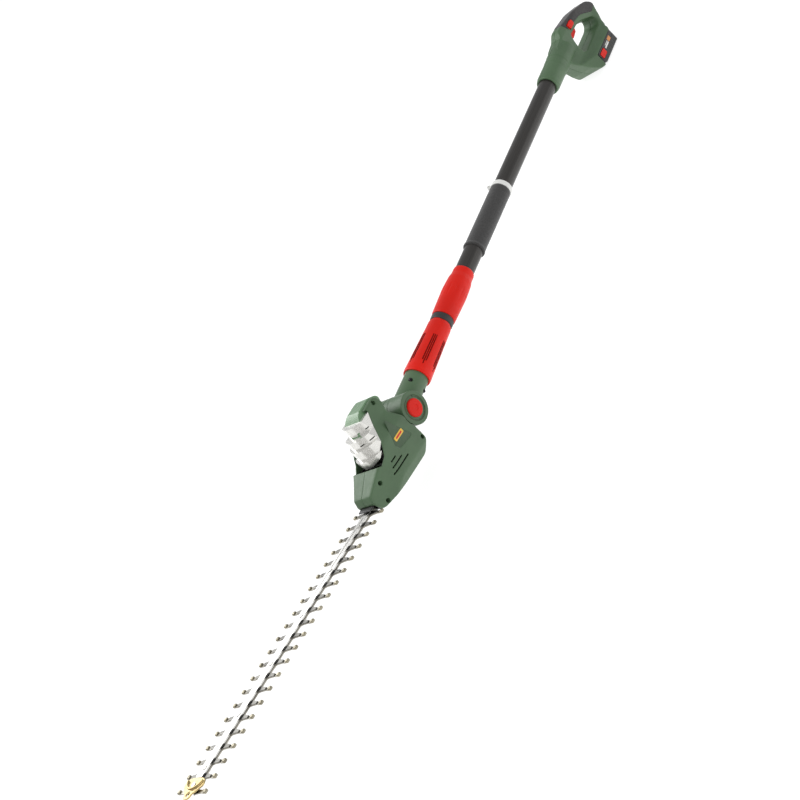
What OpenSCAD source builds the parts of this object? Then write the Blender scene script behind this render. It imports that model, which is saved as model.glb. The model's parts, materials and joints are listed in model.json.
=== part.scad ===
/* [Pole] */
// Outside diameter of the rear pole tube
tube_od = 35; // [32:0.5:40]
// Wall of the rear pole tube
tube_wall = 1.6; // [1.2:0.1:2.4]
// Outside diameter of the sliding front tube
inner_od = 28; // [24:0.5:28.5]
// Wall of the sliding front tube
inner_wall = 1.4; // [1:0.1:2]
// Bare length of the rear tube between the handle and the strap band
bare_len = 284; // [200:1:360]
// Width of the strap band
band_w = 10; // [8:0.5:14]
// Length of the foam grip
foam_len = 154; // [120:1:200]
// Thickness of the foam grip
foam_t = 2.2; // [1.5:0.1:5]
// Bare length of tube between the foam grip and the clamp sleeve
gap_len = 54; // [40:1:90]
// Travel of the telescope
slide_travel = 400; // [300:5:410]
// Tube length that stays inside when the pole is fully out
slide_overlap = 120; // [80:1:160]

/* [Pole clamp and coupling] */
// Length of the red clamp sleeve
sleeve_len = 111; // [100:1:140]
// Height of the clamp sleeve above the rear tube at its widest
sleeve_wall = 5.8; // [5.5:0.1:8]
// Width of the black wiper ring
ring_w = 13; // [8:0.5:16]
// Length of the red coupling nut
nut_len = 120; // [105:1:150]
// Radius of the coupling nut at its wide end
nut_r = 24.6; // [24.3:0.1:30]
// Grip flutes around the coupling nut
nut_flutes = 6; // [4:1:8]

/* [Tilt joint] */
// Distance from the coupling nut to the tilt axis
neck_len = 75; // [72:1:95]
// Radius of the neck
neck_r = 21; // [20:0.1:21]
// Radius of the joint barrel
barrel_r = 29; // [28:0.5:30]
// Radius of the pivot hub that turns in the barrel
hub_r = 22; // [20:0.5:23]
// Half width of the joint on the button side
joint_half_w = 37; // [36:0.5:40]
// Radius of the red release button
button_r = 15.8; // [14:0.1:16]
// Upward tilt of the cutting head at rest
rest_tilt = 8.3; // [0:0.1:15]

/* [Cutting head] */
// Half width of the head housing
head_half_w = 40; // [38:0.5:46]
// Wall of the head and handle shells
shell_wall = 2.6; // [2:0.1:3.2]
// Distance from the tilt axis to the motor axis
motor_x = 68; // [66:0.5:70]
// Radius of the motor can
motor_r = 18; // [16:0.5:18]
// Teeth on the motor pinion
pinion_teeth = 12; // [10:1:14]
// Teeth on the drive gear
gear_teeth = 48; // [40:1:48]
// Tooth module of the gears
gear_module = 0.8; // [0.7:0.05:0.8]
// Throw of the eccentric pin
throw = 6; // [4:0.5:6]

/* [Blades] */
// Teeth along each side of the blades
tooth_count = 22; // [14:1:26]
// Distance from one tooth to the next
tooth_pitch = 25; // [22:0.5:27]
// Half width of the comb blade at its blunt tips
comb_half_w = 38; // [34:0.5:42]
// Half width of the moving blade at its tooth tips
cutter_half_w = 25; // [22:0.5:28]
// Width of the guide rail
rail_w = 16; // [14:0.5:19]
// Thickness of the guide rail
rail_t = 2.4; // [2:0.1:3.5]
// Thickness of the comb blade
comb_t = 1.8; // [1.5:0.1:2.2]
// Thickness of the moving blade
cutter_t = 1.6; // [1.5:0.1:2]

/* [Rear handle and battery] */
// Length of the handle behind its socket
handle_len = 266; // [266:1:280]
// Half width of the arch of the handle
arch_half_w = 15.5; // [15:0.5:18]
// Width of the battery pack
battery_w = 75; // [70:1:76]
// Length of the battery pack
battery_len = 96; // [95:1:99]
// Height of the battery pack below the housing
battery_h = 29; // [27:0.5:32]
// Cells in the battery pack, side by side
cell_count = 4; // [2:1:4]

/* [Hidden] */

fit = 0.05;          // running clearance between turning or sliding pieces
gap = 0.4;           // open gap between pieces that only pass each other
far = 400;           // larger than any cut needs
green = [0.29, 0.42, 0.31];
red = [0.86, 0.16, 0.10];
dark = [0.16, 0.16, 0.16];
black = [0.09, 0.09, 0.09];
tube_grey = [0.22, 0.21, 0.20];
steel = [0.72, 0.72, 0.72];
silver = [0.88, 0.88, 0.86];
brass = [0.75, 0.62, 0.30];

// Places along the pole axis, from the middle of the bare tube
mouth_x = -bare_len / 2;
band_x = bare_len / 2;
foam_x = band_x + band_w;
sleeve_x = foam_x + foam_len + gap_len;
ring_x = sleeve_x + sleeve_len;
nut_x = ring_x + ring_w + gap;
neck_x = nut_x + nut_len;
pivot_x = neck_x + neck_len;
rear_x = mouth_x - handle_len;

tube_r = tube_od / 2;
bore_r = tube_r - tube_wall;
inner_r = inner_od / 2;
sleeve_r = tube_r + sleeve_wall;
socket_r = tube_r + 6;                  // handle socket around the rear tube
tube_insert = 60;                       // tube length held in the handle socket
tube_end = sleeve_x + 40;               // front end of the rear tube
inner_rear = tube_end - slide_travel - slide_overlap;
inner_front = neck_x - 5;
spigot_x = nut_x + 1;
spigot_len = 54;
spigot_r = inner_r + 3;
collar_x = nut_x + spigot_len + 4;      // start of the neck inside the nut
collet_r = tube_r + 1.5;                // collet where it grips the rear tube
jaw_r = inner_r + 3;                    // collet where it grips the front tube
lead_r = 7.5;

ear_gap_y = -13;                        // joint face between the barrel and the far ear
ear_end_y = -joint_half_w;
swing_gap = 2.4;                        // room around the barrel for the turning head

// Heights in the head's own frame, measured from the tilt axis
comb_z = -50.7;
cutter_z = comb_z + comb_t + fit;
rail_z = cutter_z + cutter_t + fit;
plate_z = -33;
plate_t = 5;
gear_z = plate_z + plate_t + 3;
gear_t = 8;
deck_z = gear_z + gear_t + 2;
deck_t = 4;
can_z = deck_z + deck_t;
can_h = 46;
first_tooth_x = 186.3;
blade_end = first_tooth_x + (tooth_count - 1) * tooth_pitch + 6;
gear_x = motor_x + gear_module * (pinion_teeth + gear_teeth) / 2;
pin_r = 4;
window_x = 2 * throw + pin_r + 0.6;
window_y = throw + pin_r + 0.6;
bolt_count = 6;
bolt_r = 2.4;
rail_end = blade_end - 27;
bolt_step = (rail_end - first_tooth_x - 46) / (bolt_count - 1);
bolt_x = [for (i = [0:bolt_count - 1]) first_tooth_x + 30 + i * bolt_step];
guard_x = rail_end + gap;
guard_rim = 2.6;
tip_screw_x = guard_x + 12;
hang_x = guard_x + 27.4;
hang_r = 4.2;
comb_end = hang_x - hang_r - 0.6;       // the blades stop short of the hanging hole
cutter_end = tip_screw_x - throw - 4;   // and the moving blade, at full stroke, short of the tip screw

// Handle heights, measured from the pole axis
battery_z = -84;
bay_z = battery_z + battery_h;
battery_rear = rear_x + 38;
battery_front = battery_rear + battery_len;

function unit(v) = v / norm(v);
function corner(a, b, c, r, n) =
    let(u = unit(a - b), w = unit(c - b), half = acos(u * w) / 2,
        o = b + unit(u + w) * r / sin(half), s = b + u * r / tan(half), e = b + w * r / tan(half),
        a0 = atan2(s.y - o.y, s.x - o.x), a1 = atan2(e.y - o.y, e.x - o.x),
        turn = (a1 - a0 + 540) % 360 - 180)
    [for (i = [0:n]) o + r * [cos(a0 + turn * i / n), sin(a0 + turn * i / n)]];
// Outline whose corners [x, y, radius] are rounded with arcs
function rounded(p, n = 5) =
    [for (i = [0:len(p) - 1])
        let(a = p[(i + len(p) - 1) % len(p)], b = p[i], c = p[(i + 1) % len(p)])
        each (b[2] > 0 ? corner([a.x, a.y], [b.x, b.y], [c.x, c.y], b[2], n) : [[b.x, b.y]])];
function shift_x(p, dx) = [for (q = p) [q.x + dx, q.y, q[2]]];

// An outline in X and Z, made solid from y0 to y1
module side(y0, y1) { translate([0, y1, 0]) rotate([90, 0, 0]) linear_extrude(y1 - y0) children(); }
// An outline in X and Y, made solid far up and down
module plan() { translate([0, 0, -150]) linear_extrude(300) children(); }
// An outline in Y and Z, made solid from x0 to x1
module front(x0, x1) { translate([x0, 0, 0]) rotate([90, 0, 90]) linear_extrude(x1 - x0) children(); }
module rod_x(x0, x1, r, fn = 64) {
    translate([x0, 0, 0]) rotate([0, 90, 0]) cylinder(h = x1 - x0, r = r, $fn = fn);
}
module rod_y(y0, y1, r, fn = 64) {
    translate([0, y1, 0]) rotate([90, 0, 0]) cylinder(h = y1 - y0, r = r, $fn = fn);
}
module rod_z(z0, z1, r, fn = 48) { translate([0, 0, z0]) cylinder(h = z1 - z0, r = r, $fn = fn); }
// A profile in radius and length, turned about the pole axis from x0 on
module turned_x(x0, p) { translate([x0, 0, 0]) rotate([0, 90, 0]) rotate_extrude($fn = 96) polygon(p); }
module left_half() {
    intersection() {
        children();
        translate([-far * 5, 0, -far]) cube([far * 10, far, 2 * far]);
    }
}
module right_half() {
    intersection() {
        children();
        translate([-far * 5, -far, -far]) cube([far * 10, far, 2 * far]);
    }
}
module in_head() { translate([pivot_x, 0, 0]) rotate([0, -rest_tilt, 0]) children(); }

/* ---------- rear handle ---------- */

// Side outline of the handle, from the socket mouth backwards
handle_outline = shift_x([
    [-84, 23, 6], [-112, 25, 8], [-126, 35.5, 16], [-150, 34, 60], [-200, 26, 80], [-246, 11, 30],
    [-266, -7, 12], [-247, -30, 18], [-237, -46, 8], [-236, bay_z, 1], [-138, bay_z, 1],
    [-137, battery_z, 2], [-122, battery_z + 3, 16], [-104, -60, 20], [-80, -20, 4]], mouth_x);
handle_hole = shift_x([
    [-238, -24, 8], [-190, 3, 60], [-142, 7.5, 6], [-128, -37, 7], [-222, -37, 12]], mouth_x);
handle_plan = shift_x([
    [-60, 24, 0], [-94, 24, 20], [-134, battery_w / 2 + 1, 30], [-212, battery_w / 2 + 1, 12],
    [-238, 20, 14], [-282, 18, 0], [-282, -18, 0], [-238, -20, 14], [-212, -battery_w / 2 - 1, 12],
    [-134, -battery_w / 2 - 1, 30], [-94, -24, 20], [-60, -24, 0]], mouth_x);
handle_front = [
    [-arch_half_w, 22, 10], [-9, 40, 10], [9, 40, 10], [arch_half_w, 22, 10], [arch_half_w, -14, 20],
    [22, -38, 20], [battery_w / 2 + 0.5, -52, 12], [battery_w / 2 + 0.5, -100, 2],
    [-battery_w / 2 - 0.5, -100, 2], [-battery_w / 2 - 0.5, -52, 12], [-22, -38, 20],
    [-arch_half_w, -14, 20]];
grip_zone = shift_x([
    [-143, 40, 0], [-146, 19, 4], [-205, 8, 30], [-240, -14, 6], [-272, -10, 0],
    [-276, 45, 0]], mouth_x);
trigger_x = mouth_x - 160;
lock_x = mouth_x - 161;
lock_z = 19;
handle_screw_at = [[-100, 0], [-112, -52], [-231, -41], [-250, -12], [-120, 22]];

module handle_face() {
    difference() {
        polygon(rounded(handle_outline));
        polygon(rounded(handle_hole));
    }
}
module handle_outer() {
    intersection() {
        side(-60, 60) handle_face();
        front(rear_x - 20, mouth_x) polygon(rounded(handle_front));
        plan() polygon(rounded(handle_plan));
    }
    turned_x(mouth_x - 112, [[0, 0], [socket_r + 1.5, 0], [socket_r + 1.1, 26], [socket_r + 1.1, 44],
        [socket_r + 0.1, 46], [socket_r + 0.5, 48], [socket_r + 0.5, 60], [socket_r - 0.1, 62],
        [socket_r - 0.1, 104], [socket_r - 1.9, 112], [0, 112]]);
}
module handle_inner() {
    intersection() {
        side(-60, 60) offset(delta = -shell_wall) handle_face();
        front(rear_x - 20, mouth_x - tube_insert - 10)
            offset(delta = -shell_wall) polygon(rounded(handle_front));
        plan() offset(delta = -shell_wall) polygon(rounded(handle_plan));
    }
}
module grip_skin() {
    difference() {
        side(-60, 60) polygon(rounded(grip_zone));
        intersection() {
            side(-70, 70) offset(delta = -1.4) handle_face();
            front(rear_x - 20, mouth_x) offset(delta = -1.4) polygon(rounded(handle_front));
        }
    }
}
module at_handle_screws() {
    for (p = handle_screw_at) translate([mouth_x + p.x, 0, p.y]) children();
}
module trigger_slot() {
    translate([trigger_x - 18, -6.5, -12]) cube([40, 13, 27]);
}
module battery_bay() {
    translate([battery_rear - 10, -battery_w / 2 + 6, bay_z - 1])
        cube([battery_len + 10 + gap, battery_w - 12, 9]);
    translate([battery_rear - 30, -battery_w / 2 - 2, battery_z - 5])
        cube([battery_len + 30 + gap, battery_w + 4, battery_h + 5 - fit]);
}
module handle_shell() {
    difference() {
        union() {
            difference() {
                handle_outer();
                handle_inner();
            }
            intersection() {
                at_handle_screws() rod_y(-40, 40, 4.6, 32);
                handle_outer();
            }
            intersection() {
                translate([battery_rear - 4, -battery_w / 2, bay_z]) cube([battery_len + 8, battery_w, 11]);
                handle_outer();
            }
        }
        grip_skin();
        battery_bay();
        trigger_slot();
        terminal_box();
        rod_x(mouth_x - tube_insert, mouth_x + 1, tube_r);
        rod_x(mouth_x - tube_insert - 11, mouth_x, 11);
        lock_hole();
        at_handle_screws() rod_y(-far, 8, 1.7, 24);
        at_handle_screws() rod_y(-far, -10, 3.6, 32);
        translate([trigger_x - 24, -9, 6]) cube([58, 18, 18]);
    }
}
module handle_shell_left() { color(green) left_half() handle_shell(); }
module handle_shell_right() { color(green) right_half() handle_shell(); }
module lock_hole() {
    translate([lock_x - 10.5, -far, lock_z - 6]) cube([21, 2 * far, 12]);
}
module soft_grip() {
    color(black) difference() {
        intersection() {
            handle_outer();
            grip_skin();
        }
        lock_hole();
    }
}
module screw(r, head_r, length) {
    difference() {
        union() {
            rod_y(-length, 0, r, 24);
            rod_y(0, 2.4, head_r, 32);
        }
        translate([0, 2.5, 0]) rotate([90, 0, 0]) cylinder(h = 1.6, r = 1.5, $fn = 6);
    }
}
module handle_screws() {
    color(dark) at_handle_screws() mirror([0, 1, 0]) translate([0, 10, 0]) screw(1.7, 3.5, 16);
}
module switch_module() {
    color(dark) union() {
        translate([lock_x + 13, -8, 12.5]) cube([21, 16, 11]);
        translate([lock_x + 15, -2, 11.6]) cube([5, 4, 1]);
    }
}
trigger_outline = [[16, 11, 2], [18, 2, 4], [8, -7, 6], [-12, -4.5, 4], [-16, 2, 3], [-15, 8, 1]];
module trigger() {
    color(red) translate([trigger_x, 0, 0]) difference() {
        side(-6, 6) polygon(rounded(trigger_outline));
        translate([13, 0, 8]) rod_y(-10, 10, 1.5, 24);
        translate([-9, 0, 5]) rod_z(0, 10, 3.2, 32);
    }
}
module trigger_spring() {
    color(steel) translate([trigger_x - 9, 0, 5.1]) for (i = [0:4])
        translate([0, 0, 0.5 + 1.7 * i]) rotate_extrude($fn = 32) translate([2.4, 0]) circle(r = 0.4, $fn = 16);
}
module lock_off_button() {
    color(red) side(-arch_half_w - 2.6, arch_half_w + 2.6) translate([lock_x, lock_z])
        polygon(rounded([[-10.2, -5.7, 4], [10.2, -5.7, 4], [10.2, 5.7, 4], [-10.2, 5.7, 4]]));
}
contact_y = [-12, -4, 4, 12];
module terminal_box() {
    translate([battery_front + gap, -20, bay_z - 14]) cube([8, 40, 20]);
}
module terminal_block() {
    color(dark) difference() {
        terminal_box();
        for (y = contact_y) translate([battery_front - 1, y - 0.6, bay_z - 12]) cube([6, 1.2, 12]);
    }
}

/* ---------- battery ---------- */

battery_outline = [
    [0, battery_h, 2], [1, 8, 6], [6, 0, 4], [battery_len - 10, 0, 6], [battery_len, 8, 5],
    [battery_len - 2, battery_h, 2]];
battery_front_view = [
    [-battery_w / 2, bay_z, 0], [-battery_w / 2, battery_z, 5], [battery_w / 2, battery_z, 5],
    [battery_w / 2, bay_z, 0]];
battery_plan = [
    [0, -24, 8], [0, 24, 8], [16, battery_w / 2, 12], [battery_len, battery_w / 2, 3],
    [battery_len, -battery_w / 2, 3], [16, -battery_w / 2, 12]];
cell_pitch = 18.8;
cells_x = battery_front - 3 - cell_count * cell_pitch;
cell_half = battery_w / 2 - 5;
latch_x = battery_front - 16;
latch_z = battery_z + 18;
module battery_body() {
    intersection() {
        translate([battery_rear, 0, battery_z])
            side(-battery_w / 2, battery_w / 2) polygon(rounded(battery_outline));
        front(battery_rear - 5, battery_front + 5) polygon(rounded(battery_front_view));
        plan() polygon(rounded(shift_x(battery_plan, battery_rear)));
    }
}
module cell_room() {
    translate([cells_x - 0.5, -battery_w / 2 + 4.5, battery_z + 2.4])
        cube([cell_count * cell_pitch + 1, battery_w - 9, 20]);
}
module latch_pockets() {
    for (s = [-1, 1])
        translate([latch_x - 11, s * battery_w / 2 - 4.2, latch_z - 6.8]) cube([22, 8.4, 13.6]);
}
module battery_case() {
    color(dark) difference() {
        intersection() {
            battery_body();
            translate([battery_rear - 5, -far, battery_z - 1]) cube([battery_len + 10, 2 * far, 19]);
        }
        cell_room();
        latch_pockets();
    }
}
module battery_lid() {
    color(black) difference() {
        union() {
            intersection() {
                battery_body();
                translate([battery_rear - 5, -far, battery_z + 18])
                    cube([battery_len + 10, 2 * far, battery_h - 18 - 2 * fit]);
            }
            translate([battery_rear + 8, -battery_w / 2 + 8, bay_z - 2])
                cube([battery_len - 8, battery_w - 16, 9.4]);
        }
        cell_room();
        latch_pockets();
        for (y = contact_y) translate([battery_front - 8, y - 0.7, bay_z - 1]) cube([20, 1.4, 6]);
    }
}
module battery_cells() {
    color([0.2, 0.45, 0.7]) for (i = [0:cell_count - 1])
        translate([cells_x + (i + 0.5) * cell_pitch, 0, battery_z + 12]) rod_y(-cell_half, cell_half, 9.2, 48);
}
module latch(y0) {
    color(red) translate([latch_x, 0, latch_z]) side(y0, y0 + 3)
        polygon(rounded([[-10.5, -6.3, 2], [10.5, -6.3, 2], [10.5, 6.3, 2], [-10.5, 6.3, 2]]));
}
module latch_left() { latch(battery_w / 2 - 2.4); }
module latch_right() { latch(-battery_w / 2 - 0.6); }

/* ---------- pole ---------- */

module outer_tube() {
    color(tube_grey) difference() {
        rod_x(mouth_x - tube_insert, tube_end, tube_r, 96);
        rod_x(mouth_x - tube_insert - 1, tube_end + 1, bore_r, 96);
    }
}
module foam_grip() {
    color(dark) turned_x(foam_x, [[tube_r, 0], [tube_r + foam_t - 0.6, 0], [tube_r + foam_t, 2],
        [tube_r + foam_t, foam_len - 6], [tube_r + foam_t + 1, foam_len - 4],
        [tube_r + foam_t + 1, foam_len - 1], [tube_r + foam_t, foam_len], [tube_r, foam_len]]);
}
module strap_band() {
    color(silver) difference() {
        union() {
            turned_x(band_x, [[0, 0], [tube_r + 2.4, 0], [tube_r + 3, 1], [tube_r + 3, band_w - 1],
                [tube_r + 2.4, band_w], [0, band_w]]);
            translate([band_x + band_w / 2, 0, 0]) rotate([55, 0, 0]) translate([0, 0, tube_r + 6])
                rod_y(-3, 3, band_w / 2 - 0.7, 48);
        }
        rod_x(band_x - 1, band_x + band_w + 1, tube_r, 96);
        translate([band_x + band_w / 2, 0, 0]) rotate([55, 0, 0]) translate([0, 0, tube_r + 7])
            rod_y(-10, 10, 2.1, 32);
    }
}
module clamp_collet() {
    start = sleeve_x + 22;
    step = tube_end - start;
    length = sleeve_len - 22;
    color(dark) difference() {
        turned_x(start, [[tube_r, 0], [collet_r, 0], [collet_r, step + 4], [jaw_r, step + 8], [jaw_r, length],
            [inner_r + fit, length], [inner_r + fit, step], [tube_r, step]]);
        for (a = [0:90:270]) rotate([a, 0, 0]) translate([tube_end + 12, -1, 0])
            cube([sleeve_x + sleeve_len - tube_end - 11, 2, far]);
    }
}
module clamp_sleeve() {
    collet = sleeve_x + 22;
    color(red) difference() {
        turned_x(sleeve_x, [[0, 0], [tube_r + 1.5, 0], [tube_r + 2, 3], [tube_r + 2.2, 14], [tube_r + 4.2, 24],
            [sleeve_r - 0.6, 40], [sleeve_r, 54], [sleeve_r - 1.6, sleeve_len - 4],
            [sleeve_r - 2.4, sleeve_len - 0.2], [0, sleeve_len - 0.2]]);
        rod_x(sleeve_x - 1, collet, tube_r + 0.1, 96);
        rod_x(collet - 0.2, tube_end + 10, collet_r + fit, 96);
        rod_x(tube_end + 9, sleeve_x + sleeve_len, jaw_r + fit, 96);
        for (i = [0:11]) rotate([30 * i, 0, 0]) translate([sleeve_x + 44, 0, sleeve_r + 2.2])
            rod_x(0, sleeve_len - 54, 3, 32);
    }
}
module wiper_ring() {
    color(black) turned_x(ring_x, [[inner_r + fit, 0], [sleeve_r - 3.4, 0], [sleeve_r - 2.8, 2],
        [sleeve_r - 2.8, ring_w - 2], [sleeve_r - 3.8, ring_w], [inner_r + fit, ring_w]]);
}
module coiled_lead() {
    color(black) difference() {
        rod_x(mouth_x - tube_insert - 8, inner_front - 8, lead_r, 48);
        rod_x(mouth_x - tube_insert - 9, inner_front - 7, lead_r - 3, 48);
    }
}
module inner_tube() {
    color([0.55, 0.55, 0.56]) difference() {
        rod_x(inner_rear, inner_front, inner_r, 96);
        rod_x(inner_rear - 1, inner_front + 1, inner_r - inner_wall, 96);
    }
}
module slide_bush() {
    color(dark) difference() {
        rod_x(inner_rear, inner_rear + 26, bore_r - fit, 96);
        rod_x(inner_rear - 1, inner_rear + 27, inner_r, 96);
    }
}
module threaded_spigot() {
    color(dark) difference() {
        union() {
            rod_x(spigot_x, spigot_x + spigot_len, spigot_r - 1.2, 96);
            for (i = [0:8]) rod_x(spigot_x + 2 + 5.6 * i, spigot_x + 5 + 5.6 * i, spigot_r, 96);
        }
        rod_x(spigot_x - 1, spigot_x + spigot_len + 1, inner_r, 96);
    }
}
module coupling_nut() {
    color(red) difference() {
        turned_x(nut_x, [[0, 0], [nut_r - 5, 0], [nut_r - 3.8, 6], [nut_r - 3.4, 22],
            [nut_r - 0.4, nut_len - 12], [nut_r, nut_len - 6], [nut_r - 0.6, nut_len - 0.2],
            [0, nut_len - 0.2]]);
        rod_x(nut_x - 1, collar_x, spigot_r + fit, 96);
        rod_x(collar_x - 0.2, neck_x + 1, neck_r + fit, 96);
        for (i = [0:nut_flutes - 1]) rotate([360 / nut_flutes * i, 0, 0])
            for (k = [-1:1]) rotate([8 * k, 0, 0]) translate([nut_x + 36, -0.9, nut_r - 3.8])
                rotate([0, -2, 0]) cube([68 - 8 * abs(k), 1.8, 6]);
        for (a = [0:60:300]) rotate([a, 0, 0]) translate([nut_x - 1, -3.5, nut_r - 5.6]) cube([5, 7, 6]);
    }
}

/* ---------- tilt joint ---------- */

module neck_solid() {
    difference() {
        union() {
            rod_x(collar_x + 1, pivot_x, neck_r, 96);
            translate([pivot_x, 0, 0]) rod_y(ear_gap_y, joint_half_w, barrel_r, 96);
        }
        translate([pivot_x, 0, 0]) rod_y(-far, ear_gap_y, barrel_r + swing_gap, 96);
        rod_x(collar_x, inner_front, inner_r, 96);
        rod_x(inner_front - 1, pivot_x - 20, 11, 64);
        translate([pivot_x, 0, 0]) rod_y(-far, far, hub_r + fit, 96);
        translate([pivot_x, 0, 0]) rod_y(joint_half_w - 13, joint_half_w - 7, hub_r + 4, 96);
        at_neck_screws() rod_y(-far, far, 1.7, 24);
        at_neck_screws() rod_y(11, far, 3.6, 32);
    }
}
module at_neck_screws() {
    for (s = [-1, 1]) translate([neck_x + 20, 0, s * 15.5]) children();
}
module neck_left() { color(green) left_half() neck_solid(); }
module neck_right() { color(green) right_half() neck_solid(); }
module neck_screws() { color(dark) at_neck_screws() translate([0, 11, 0]) screw(1.7, 3.5, 18); }
module detent_ring() {
    color(steel) translate([pivot_x, 0, 0]) difference() {
        rod_y(joint_half_w - 13, joint_half_w - 7, hub_r + 4, 96);
        rod_y(joint_half_w - 14, joint_half_w - 6, hub_r + 0.4, 96);
        for (a = [0:15:345]) rotate([0, a, 0]) translate([hub_r + 0.4, 0, 0])
            rod_y(joint_half_w - 14, joint_half_w - 6, 1.4, 16);
    }
}
module pivot_hub() {
    color(dark) in_head() difference() {
        rod_y(ear_end_y + 4, joint_half_w - 5, hub_r, 96);
        rod_y(ear_end_y + 8, joint_half_w, button_r + fit, 96);
    }
}
module hub_ring() {
    color(green) in_head() difference() {
        rod_y(joint_half_w - 5, joint_half_w - 1.6, hub_r, 96);
        rod_y(joint_half_w - 6, joint_half_w, button_r + fit, 96);
        rotate([0, -40, 0]) translate([-0.7, joint_half_w - 2.6, 18]) cube([1.4, 3, 6]);
        difference() {
            rod_y(joint_half_w - 2.4, joint_half_w, hub_r - 1.6, 96);
            rod_y(joint_half_w - 3, joint_half_w + 1, hub_r - 2.6, 96);
        }
    }
}
module tilt_button() {
    color(red) in_head() difference() {
        translate([0, joint_half_w - 24, 0]) rotate([-90, 0, 0]) rotate_extrude($fn = 96)
            polygon([[0, 0], [button_r, 0], [button_r, 24.5], [button_r - 1.6, 26.4], [0, 27]]);
        rod_y(joint_half_w - 25, joint_half_w - 12, 8, 48);
        translate([0, joint_half_w + 14.2, 0]) rod_y(-12, 0, 5, 48);
    }
}
module tilt_spring() {
    color(steel) in_head() for (i = [0:6])
        translate([0, ear_end_y + 9.2 + i * (2 * joint_half_w - 22.4) / 6, 0]) rotate([90, 0, 0])
            rotate_extrude($fn = 48) translate([6.4, 0]) circle(r = 0.8, $fn = 16);
}

/* ---------- cutting head ---------- */

head_outline = [
    [30, 12, 0], [26, -20, 4], [25, -44, 14], [40, -65, 16], [110, -63.5, 60], [172, -58, 14],
    [181, -38, 3], [176, -25, 3], [134, -4, 10], [98, 50, 10], [72, 66, 12], [34, 68, 10], [33, 50, 8],
    [42, 36, 6]];
head_front = [
    [-24, 72, 6], [24, 72, 6], [31, 40, 20], [head_half_w, 12, 20], [head_half_w, -46, 10],
    [head_half_w - 12, -66, 8], [12 - head_half_w, -66, 8], [-head_half_w, -46, 10],
    [-head_half_w, 12, 20], [-31, 40, 20]];
head_plan = [
    [20, head_half_w, 0], [112, head_half_w, 40], [150, 29, 30], [182, 21, 4],
    [182, -21, 4], [150, -29, 30], [112, -head_half_w, 40], [20, -head_half_w, 0]];
cover_wall = 2.2;
cover_edge = [
    [66, 63, 0], [80, 44, 40], [98, 17, 10], [113, -1, 0], [127, -8, 0], [136, -3, 0], [170, 10, 0],
    [120, 90, 0]];
dome_outline = [
    [28, 52, 2], [26, 62, 8], [42, 69.5, 14], [78, 69, 24], [98, 52, 20], [104, 34, 4], [98, 30, 3],
    [84, 42, 0], [60, 50, 0]];
dome_plan = [[10, 22, 0], [90, 22, 24], [104, 6, 6], [104, -6, 6], [90, -22, 24], [10, -22, 0]];
dome_room = [
    [31, 20, 0], [29.5, 60, 6], [43.5, 66.8, 12], [77, 66.2, 22], [95.4, 50.8, 18], [101.2, 33, 0],
    [99, 20, 0]];
dome_front = [[-14, 74, 8], [14, 74, 8], [20, 58, 12], [21.5, 26, 2], [-21.5, 26, 2], [-20, 58, 12]];
head_screw_at = [[47, 61], [34, 37], [31, -38], [148, -24], [158, -53]];

module head_block() {
    intersection() {
        side(-60, 60) polygon(rounded(head_outline));
        front(10, 200) polygon(rounded(head_front));
        plan() polygon(rounded(head_plan));
    }
}
module head_room() {
    intersection() {
        side(-60, 60) offset(delta = -shell_wall) polygon(rounded(head_outline));
        front(10, 200) offset(delta = -shell_wall) polygon(rounded(head_front));
        plan() offset(delta = -shell_wall) polygon(rounded(head_plan));
    }
}
// The cover's tiers, each set back from the one below: front, low and high
cover_tier = [[125, -20, 7], [119.5, 6, 25], [113.5, 24, 41], [101, 40, 60]];
function tier_plan(front) = rounded([
    [40, 42, 0], [front - 26, 42, 14], [front - 9, 26, 16], [front, 8, 12], [front, -8, 12],
    [front - 9, -26, 16], [front - 26, -42, 14], [40, -42, 0]]);
module cover_tiers(inset) {
    for (t = cover_tier) translate([0, 0, t[1] - inset]) linear_extrude(t[2] - t[1])
        offset(delta = -inset) polygon(tier_plan(t[0]));
}
module dome_zone() {
    intersection() {
        side(-60, 60) polygon(rounded(dome_outline));
        front(0, 200) polygon(rounded(dome_front));
        plan() polygon(rounded(dome_plan));
    }
}
module at_head_screws() {
    for (p = head_screw_at) translate([p.x, 0, p.y]) children();
}
module pole_swing() {
    rod_y(ear_gap_y - gap, far, barrel_r + swing_gap, 96);
}
module head_solid() {
    difference() {
        union() {
            difference() {
                head_block();
                head_room();
            }
            intersection() {
                at_head_screws() rod_y(-50, 50, 5, 32);
                head_block();
            }
            difference() {
                rod_y(ear_end_y, ear_gap_y - gap, barrel_r, 96);
                translate([28, -far, -far]) cube([far, 2 * far, 2 * far]);
            }
            intersection() {
                side(ear_end_y, ear_gap_y - gap) polygon([[0, 28], [44, 34], [44, -30], [0, -28]]);
                front(-10, 60) polygon(rounded(head_front));
            }
        }
        side(-60, 60) polygon(rounded(cover_edge));
        dome_zone();
        pole_swing();
        rod_y(ear_end_y + 4, far, hub_r, 96);
        at_head_screws() rod_y(-far, far, 1.7, 24);
        at_head_screws() rod_y(12, far, 3.8, 32);
        blade_exit();
        vent_slots();
        label_recess(1.2);
        translate([motor_x, 0, 0]) rod_z(can_z, can_z + can_h, motor_r + gap);
        translate([motor_x, 0, 0]) rod_z(-20, 70, 17.6);
        gear_space();
    }
}
module blade_exit() {
    translate([130, -19, comb_z - 4]) cube([80, 38, 15]);
}
module gear_space() {
    translate([44, -31, comb_z - 6]) cube([84, 62, can_z - comb_z + 6]);
}
module vent_slots() {
    for (v = [[97, 112, -16], [87, 117, -24.5], [76, 123, -33]])
        translate([v[0], -far, v[2] - 0.9]) cube([v[1] - v[0], 2 * far, 1.8]);
}
label_outline = [[65, 35, 2], [43, -17, 2], [47, -20, 1], [80, -16, 2], [85, -6, 2]];
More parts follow.
